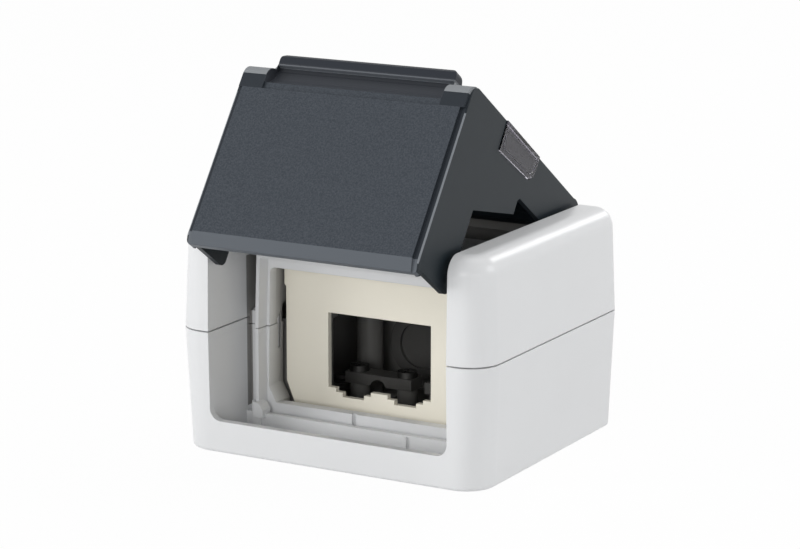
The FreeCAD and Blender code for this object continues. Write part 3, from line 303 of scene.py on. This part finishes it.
# Painted shade: the clamp screws' metal is dark like the cable room around it.
clamp_screw_metal_painted_shade = metal_finish("clamp_screw_metal_painted_shade", (0.12, 0.118, 0.114), 0.50)
thread_r = 0.00148
thread_ridge = 0.00022
thread_foot = 0.0003
for group, plating, pitch, length in (
        ("shell_screw", zinc, 0.00125, 0.0165),
        ("clamp_screw", clamp_screw_metal_painted_shade, 0.00110, 0.0050)):
    names = ["%s_%d" % (group, number) for number in range(1, 5)]
    paint(names, plating)
    feet = []
    for name in names:
        low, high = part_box(name)
        feet.append(((low[0] + high[0]) / 2, (low[1] + high[1]) / 2, low[2] + thread_foot))
    threads = grow(group + "_threads", feet, [], thread_tree(plating), {
        "Radius": thread_r, "Pitch": pitch, "Length": length, "Ridge": thread_ridge})
    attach(threads, "housing")

# ------------------------------------------------------- gasket, seals and grommets
# Grey EPDM rubber: a strip in the joint of the shells, a ring under the head of each
# wall screw and a snap-in grommet with a thin ringed membrane in each cable entry.


def rubber_finish():
    """Dull rubber with a faint bloom."""
    material, start = new_finish("grey_rubber")
    place = start.node("ShaderNodeTexCoord", out=3)
    bloom = noise(start, place, 0.002, 3.0)
    shader = start.node("ShaderNodeBsdfPrincipled", {
        "Base Color": tint(start, bloom, (0.100, 0.098, 0.094), (0.125, 0.122, 0.117)),
        "Roughness": 0.62 + 0.12 * bloom,
        "Normal": bumped(start, noise(start, place, 0.0002, 2.0), 0.000012, 0.0002)})
    return coat_with(material, start, shader)


def ring_tree(material):
    """Concentric round ridges about every point, standing in the XZ plane."""
    start, (points, count, step, ridge) = new_tree(
        "membrane_rings", ("Points", "Geometry"), ("Rings", "Int"), ("Step", "Float"),
        ("Ridge", "Float"))
    stack = start.node("GeometryNodeMeshLine", {
        "Count": count, "Offset": (0.0, 0.0, 0.0)}, mode="OFFSET")
    radius = (start.node("GeometryNodeInputIndex") + 1.0) * step
    circle = start.node("GeometryNodeCurvePrimitiveCircle", {"Resolution": 48, "Radius": 1.0})
    rings = start.node("GeometryNodeInstanceOnPoints", {
        "Points": stack, "Instance": circle, "Scale": radius})
    rings = start.node("GeometryNodeRealizeInstances", {"Geometry": rings})
    profile = start.node("GeometryNodeCurvePrimitiveCircle", {"Resolution": 6, "Radius": ridge})
    ridges = start.node("GeometryNodeCurveToMesh", {"Curve": rings, "Profile Curve": profile})
    copies = start.node("GeometryNodeInstanceOnPoints", {
        "Points": points, "Instance": ridges, "Rotation": (math.pi / 2, 0.0, 0.0)})
    return close_tree(start, copies, material)


rubber = rubber_finish()
grommets = ("cable_grommet_left", "cable_grommet_right")
paint(("shell_gasket", *grommets), rubber)
paint(["fixing_seal_%d" % number for number in range(1, 5)], rubber)
membrane_depth = 0.0022
centres = []
for name in grommets:
    low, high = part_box(name)
    centres.append(((low[0] + high[0]) / 2, high[1] - membrane_depth, (low[2] + high[2]) / 2))
rings = grow("grommet_rings", centres, [], ring_tree(rubber), {
    "Rings": 4, "Step": 0.0014, "Ridge": 0.00016})
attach(rings, "housing")

# ------------------------------------------------------------------- cable clamps
# Two bars moulded in grey nylon, darkened as painted shade of the cable room.  Each is
# screwed down over its cable, on a saddle on the floor of the lower shell, and keeps a
# pull on the cable off the jack.


def shaded_nylon_finish():
    """Grey nylon with a soft haze, darkened as painted shade of the cable room."""
    material, start = new_finish("grey_nylon_and_painted_shade")
    place = start.node("ShaderNodeTexCoord", out=3)
    haze = noise(start, place, 0.0015, 3.0)
    shader = start.node("ShaderNodeBsdfPrincipled", {
        "Base Color": tint(start, haze, (0.120, 0.117, 0.112), (0.140, 0.137, 0.130)),
        "Roughness": 0.42 + 0.10 * haze,
        "Normal": bumped(start, haze, 0.00002, 0.0003)})
    return coat_with(material, start, shader)


paint(("cable_clamp_left", "cable_clamp_right"), shaded_nylon_finish())

# ------------------------------------------------------------------ mounting plate
# A flat plate moulded in ivory ABS that slides down between the guide fins behind the
# opening.  Two jacks snap into its stepped cut-out from behind.


def plate_finish():
    """Satin ivory ABS, slightly uneven in tone."""
    material, start = new_finish("plate_ivory")
    place = start.node("ShaderNodeTexCoord", out=3)
    cloud = noise(start, place, 0.012, 3.0)
    shader = start.node("ShaderNodeBsdfPrincipled", {
        "Base Color": tint(start, cloud, (0.930, 0.888, 0.770), (0.912, 0.866, 0.745)),
        "Roughness": 0.48 + 0.10 * noise(start, place, 0.004, 3.0),
        "Normal": bumped(start, noise(start, place, 0.0004, 2.0), 0.000012, 0.0002)})
    return coat_with(material, start, shader)


paint(("module_plate",), plate_finish())

# ---------------------------------------------------------------------------- lid
# Splash lid in one slate-grey moulding: the flap has a spark-eroded grain; the bevel,
# the lip and the side walls are smoother.  It hangs on two steel pins.

hinge = frame["joints"][0]
hinge_place = Vector(hinge["pos_m"])
opened = math.radians(-hinge["range_deg"][0])

# Zones of the lid when it is shut, measured from the hinge.
flap_back = -0.0655
flap_side = 0.0321
panel_side = 0.0309
panel_top = -0.0028
bevel_top = -0.0428
scoop_side = 0.0251
scoop_edge = scoop_side + 0.0001
scoop_low = -0.0008
lug_back = -0.0620
lug_top = 0.0010
lip_side = 0.0268
lip_low = 0.0052
lip_edge = 0.0006
edge_back = -0.0672
edge_lean = 0.020
edge_top = -0.0040
clips_middle = -0.0323
clips_apart = 0.0038
clip_long = 0.0008
clip_low = -0.0030
clip_high = 0.0003

# Tones of the lid's faces: the slate's own tone and grain, with shade and highlights painted in.
panel_dark = (0.036, 0.043, 0.053)
panel_pale = (0.062, 0.071, 0.084)
# The side walls and every face outside the zones: slate, darker than the flap by painted shade.
side_painted_shade_dark = (0.010, 0.015, 0.019)
side_painted_shade_pale = (0.014, 0.020, 0.025)
# Painted shade on the border strip beside the panel.
painted_border_shade = (0.022, 0.027, 0.034)
# Painted light on the bevel, paler than the flap.
painted_bevel_light = (0.098, 0.110, 0.126)
# Painted shade on the lip's front face.
painted_lip_shade = (0.022, 0.026, 0.034)
# Painted highlight along the lip's lower edge.
painted_lip_highlight = (0.110, 0.120, 0.135)
# Painted highlight on the lug tops.
painted_lug_top_highlight = (0.250, 0.262, 0.275)
# Painted highlight along the flap's side edges.
painted_edge_highlight = (0.210, 0.225, 0.245)
# Painted shade down the scoop, from pale at its foot to dark under the lip.
scoop_painted_light = (0.056, 0.061, 0.072)
scoop_painted_shade = (0.022, 0.025, 0.031)
clip_shade = (0.003, 0.004, 0.005)


def lid_zones(start, place):
    """Masks of the lid's faces by where they lie when it is shut, and the scoop's rise."""
    shut = start.node("ShaderNodeMapping", {
        "Vector": place, "Location": hinge_place, "Rotation": (-opened, 0.0, 0.0)},
        vector_type="TEXTURE")
    x, y, z = axes_of(start, shut)
    across = abs(x)
    front = (y < flap_back) * (across < flap_side)
    panel = front * between(z, bevel_top, panel_top) * (across < panel_side)
    band = front * between(z, panel_top, scoop_low) * (across < scoop_side)
    lip = (across < lip_side) * (z > lip_low)
    # The shade at the window's clips, two on each side wall.
    from_clip = abs(abs(y - clips_middle) - clips_apart)
    clip = (from_clip < clip_long) * (abs(z - clip_low) < clip_high)
    return {
        "front": front,
        "grained": panel + band,
        "bevel": front * (z < bevel_top),
        "lip": lip,
        "lip_line": lip * (z < lip_low + lip_edge),
        "crown": (y < lug_back) * (z > lug_top) * between(across, scoop_edge, flap_side),
        "edge": (y < edge_back + edge_lean * z) * (across > flap_side) * (z < edge_top),
        "scoop": (y < lug_back) * (across < scoop_edge) * between(z, scoop_low, lip_low),
        "scoop_rise": (z - scoop_low) * (1.0 / (lip_low - scoop_low)),
        "clip": clip * (across > flap_side)}


def lid_finish():
    """Slate ABS with its grain on the flap; shade and highlights are painted into each face's
    tone.
    """
    material, start = new_finish("lid_slate")
    place = start.node("ShaderNodeTexCoord", out=3)
    zones = lid_zones(start, place)
    grain = noise(start, place, 0.00042, 2.0, 0.7)
    speck = start.node("ShaderNodeValToRGB", {"Fac": grain}, stops=((0.36, 0.0), (0.64, 1.0)))
    speck = start.node("ShaderNodeSeparateColor", {"Color": speck})
    panel_shade = tint(start, speck, panel_dark, panel_pale)
    painted_scoop_tone = tint(start, zones["scoop_rise"], scoop_painted_light, scoop_painted_shade)
    colour = tint(start, noise(start, place, 0.008, 2.0), side_painted_shade_dark, side_painted_shade_pale)
    for name, shade in (
            ("front", painted_border_shade), ("bevel", painted_bevel_light), ("lip", painted_lip_shade),
            ("lip_line", painted_lip_highlight), ("crown", painted_lug_top_highlight), ("edge", painted_edge_highlight),
            ("scoop", painted_scoop_tone), ("clip", clip_shade), ("grained", panel_shade)):
        colour = tint(start, zones[name], colour, shade)
    rough = zones["grained"] | zones["crown"]
    shader = start.node("ShaderNodeBsdfPrincipled", {
        "Base Color": colour,
        "Roughness": 0.38 + 0.24 * rough,
        "Specular IOR Level": 0.17,
        "Normal": bumped(start, grain * (0.10 + 0.90 * rough), 0.00005, 0.00025)})
    return coat_with(material, start, shader)


slate = lid_finish()
paint(("lid",), slate)

# Webs under the two ends of the lip, hollow outside like the roots behind them.  Their
# sizes are measured from the hinge too.
turn = Matrix.Rotation(-opened, 3, "X")
web_front = -0.0645
web_back = -0.0632
web_foot = 0.0041
web_r = 0.0016
web_steps = 8


def on_open_lid(side, back, up):
    """Where a point of the shut lid, measured from the hinge, lies on the open lid."""
    return hinge_place + turn @ Vector((side, back, up))


outline = [(scoop_side, web_foot)]
for step in range(web_steps + 1):
    angle = math.pi * (1.5 - 0.5 * step / web_steps)
    outline.append((scoop_side + web_r * (1.0 + math.cos(angle)),
                    web_foot + web_r * (1.0 + math.sin(angle))))
corners = len(outline)
points = []
faces = []
for side in (-1.0, 1.0):
    near = [len(points) + i for i in range(corners)]
    far = [index + corners for index in near]
    for back in (web_front, web_back):
        points += [on_open_lid(side * out, back, up) for out, up in outline]
    for i in range(corners):
        follower = (i + 1) % corners
        faces.append((near[i], far[i], far[follower], near[follower]))
    for i in range(1, corners - 1):
        faces.append((near[0], near[i], near[i + 1]))
        faces.append((far[0], far[i + 1], far[i]))
web_mesh = bpy.data.meshes.new("lip_webs")
web_mesh.from_pydata(points, [], faces)
web_form = bmesh.new()
web_form.from_mesh(web_mesh)
bmesh.ops.recalc_face_normals(web_form, faces=web_form.faces)
web_form.to_mesh(web_mesh)
web_form.free()
web_mesh.materials.append(slate)
webs = bpy.data.objects.new("lip_webs", web_mesh)
bpy.context.scene.collection.objects.link(webs)
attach(webs, "lid_body")

# --------------------------------------------------------------- label and window
# A dark card lies in the recess across the lid under a clear snap-on window.  The lugs
# of the window wrap round both side walls and are stiffened by a thin bead.


def card_finish():
    """Dark matt card with paper fibres."""
    material, start = new_finish("label_paper")
    place = start.node("ShaderNodeTexCoord", out=3)
    fibre = noise(start, place, 0.0006, 4.0, 0.7)
    shader = start.node("ShaderNodeBsdfPrincipled", {
        "Base Color": tint(start, fibre, (0.115, 0.115, 0.135), (0.140, 0.140, 0.160)),
        "Roughness": 0.85,
        "Normal": bumped(start, fibre, 0.00001)})
    return coat_with(material, start, shader)


def window_finish():
    """Clear polycarbonate with a violet-grey cast."""
    material, start = new_finish("clear_window")
    place = start.node("ShaderNodeTexCoord", out=3)
    haze = noise(start, place, 0.004, 2.0)
    shader = start.node("ShaderNodeBsdfPrincipled", {
        "Base Color": tint(start, haze, (0.50, 0.485, 0.54), (0.55, 0.535, 0.585)),
        "Roughness": 0.04 + 0.06 * haze,
        "IOR": 1.30,
        "Transmission Weight": 1.0,
        "Normal": bumped(start, haze, 0.00001, 0.0002)})
    return coat_with(material, start, shader)


def bead_tree(material):
    """Sweeps a thin round bead along closed outlines, their corners rounded."""
    start, (path, corner, radius) = new_tree(
        "window_bead", ("Outline", "Geometry"), ("Corner", "Float"), ("Bead", "Float"))
    path = start.node("GeometryNodeMeshToCurve", {"Mesh": path})
    path = start.node("GeometryNodeFilletCurve", {
        "Curve": path, "Count": 5, "Radius": corner}, mode="POLY")
    profile = start.node("GeometryNodeCurvePrimitiveCircle", {"Resolution": 8, "Radius": radius})
    bead = start.node("GeometryNodeCurveToMesh", {"Curve": path, "Profile Curve": profile})
    return close_tree(start, bead, material)


paint(("label_card",), card_finish())
polycarbonate = window_finish()
paint(("label_window",), polycarbonate)
# The bead's outline on the side of the shut lid, measured from the hinge.
bead_outline = [
    (-0.0459, 0.0026), (-0.0459, -0.0026), (-0.0291, -0.0021),
    (-0.0272, -0.0006), (-0.0265, 0.0026)]
window_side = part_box("label_window")[1][0]
bends = len(bead_outline)
points = []
edges = []
for side in (-window_side, window_side):
    edges += [(len(points) + i, len(points) + (i + 1) % bends) for i in range(bends)]
    points += [on_open_lid(side, back, up) for back, up in bead_outline]
bead = grow("window_bead", points, edges, bead_tree(polycarbonate), {
    "Corner": 0.0006, "Bead": 0.00014})
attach(bead, "lid_body")

# --------------------------------------------------------------------- hinge pins
# Two ground steel pins, pressed into the sides of the lid.  Their outer ends turn in
# blind bores in the side walls of the upper shell.

ground_steel = metal_finish("ground_steel", (0.55, 0.55, 0.56), 0.22)
paint(("hinge_pin_left", "hinge_pin_right"), ground_steel)

# ------------------------------------------------------------------- floor and light
# Pale studio floor under plain soft lamps.  Floor and surroundings look white, straight
# and off metal and glass, and the floor keeps a trace of the box's shadow.

floor_white = 0.97
floor_reach = 4.0
floor_drop = 0.0001
lamp_target = Vector((0.0, 0.0, 0.03))


def looking(start):
    """Mask of the rays that look at the surroundings, straight or off metal and glass."""
    rays = start.node("ShaderNodeLightPath")
    direct, glossy, through = (
        rays.output("Is %s Ray" % kind) for kind in ("Camera", "Glossy", "Transmission"))
    return direct | glossy | through


def floor_finish():
    """White to look at, and a plain pale floor to the light."""
    material, start = new_finish("studio_floor")
    plain = start.node("ShaderNodeBsdfDiffuse", {"Color": (0.85, 0.85, 0.85, 1.0)})
    white = start.node("ShaderNodeEmission", {"Color": (1.0, 1.0, 1.0, 1.0), "Strength": 1.0})
    mixed = start.node("ShaderNodeMixShader", {
        0: looking(start) * floor_white, 1: plain, 2: white})
    return coat_with(material, start, mixed)


floor_mesh = bpy.data.meshes.new("floor")
floor_mesh.from_pydata(
    [(right * floor_reach, back * floor_reach, -floor_drop)
     for right, back in ((-1, -1), (1, -1), (1, 1), (-1, 1))], [], [(0, 1, 2, 3)])
floor_mesh.materials.append(floor_finish())
floor = bpy.data.objects.new("floor", floor_mesh)
bpy.context.scene.collection.objects.link(floor)

world = bpy.data.worlds.new("studio")
bpy.context.scene.world = world
world.use_nodes = True
world.node_tree.nodes.clear()
sky = Wire(world.node_tree)
light = sky.node("ShaderNodeBackground", {"Color": (0.98, 0.99, 1.0, 1.0), "Strength": 0.42})
backdrop = sky.node("ShaderNodeBackground", {"Color": (1.0, 1.0, 1.0, 1.0), "Strength": 1.0})
mixed = sky.node("ShaderNodeMixShader", {0: looking(sky), 1: light, 2: backdrop})
sky.node("ShaderNodeOutputWorld", {"Surface": mixed})


def soft_lamp(name, place, size, watts):
    """A round lamp of this size in metres, turned to the middle of the box."""
    lamp = bpy.data.lights.new(name, "AREA")
    lamp.shape = "DISK"
    lamp.size = size
    lamp.energy = watts
    holder = bpy.data.objects.new(name, lamp)
    holder.location = place
    away = Vector(place) - lamp_target
    holder.rotation_euler = away.to_track_quat("Z", "Y").to_euler()
    bpy.context.scene.collection.objects.link(holder)


soft_lamp("key_lamp", (-0.85, -0.80, 0.40), 0.6, 5.9)
soft_lamp("front_lamp", (0.25, -1.20, 0.30), 0.5, 3.1)
soft_lamp("side_lamp", (1.00, 0.50, 0.45), 0.6, 3.0)
soft_lamp("corner_lamp", (0.80, -0.80, 0.15), 0.4, 0.7)
soft_lamp("top_lamp", (0.15, 0.20, 1.10), 0.8, 2.6)
soft_lamp("rim_lamp", (0.25, 0.95, 0.53), 0.3, 1.4)

# --------------------------------------------------------------------------- camera
# Long lens, a little above the box and to the right of its open front.  Its place
# counts from the foot of the front face, then back, aside and above in its own view.

azimuth = math.radians(29.568)
elevation = math.radians(12.996)
distance = 0.745416
aside = 0.018573
above = 0.048759
focal_length = 135.4725
sensor_width = 36.0
back = Vector((math.sin(azimuth) * math.cos(elevation),
               -math.cos(azimuth) * math.cos(elevation), math.sin(elevation)))
right = Vector((math.cos(azimuth), math.sin(azimuth), 0.0))
up = back.cross(right)
front_foot = Vector((0.0, shell_low[1], 0.0))
lens = bpy.data.cameras.new("camera")
lens.lens = focal_length
lens.sensor_width = sensor_width
lens.clip_start = 0.01
camera = bpy.data.objects.new("camera", lens)
camera.location = front_foot + back * distance + right * aside + up * above
camera.rotation_euler = Matrix((right, up, back)).transposed().to_euler()
bpy.context.scene.collection.objects.link(camera)
bpy.context.scene.camera = camera
bpy.context.scene.view_settings.view_transform = "Standard"
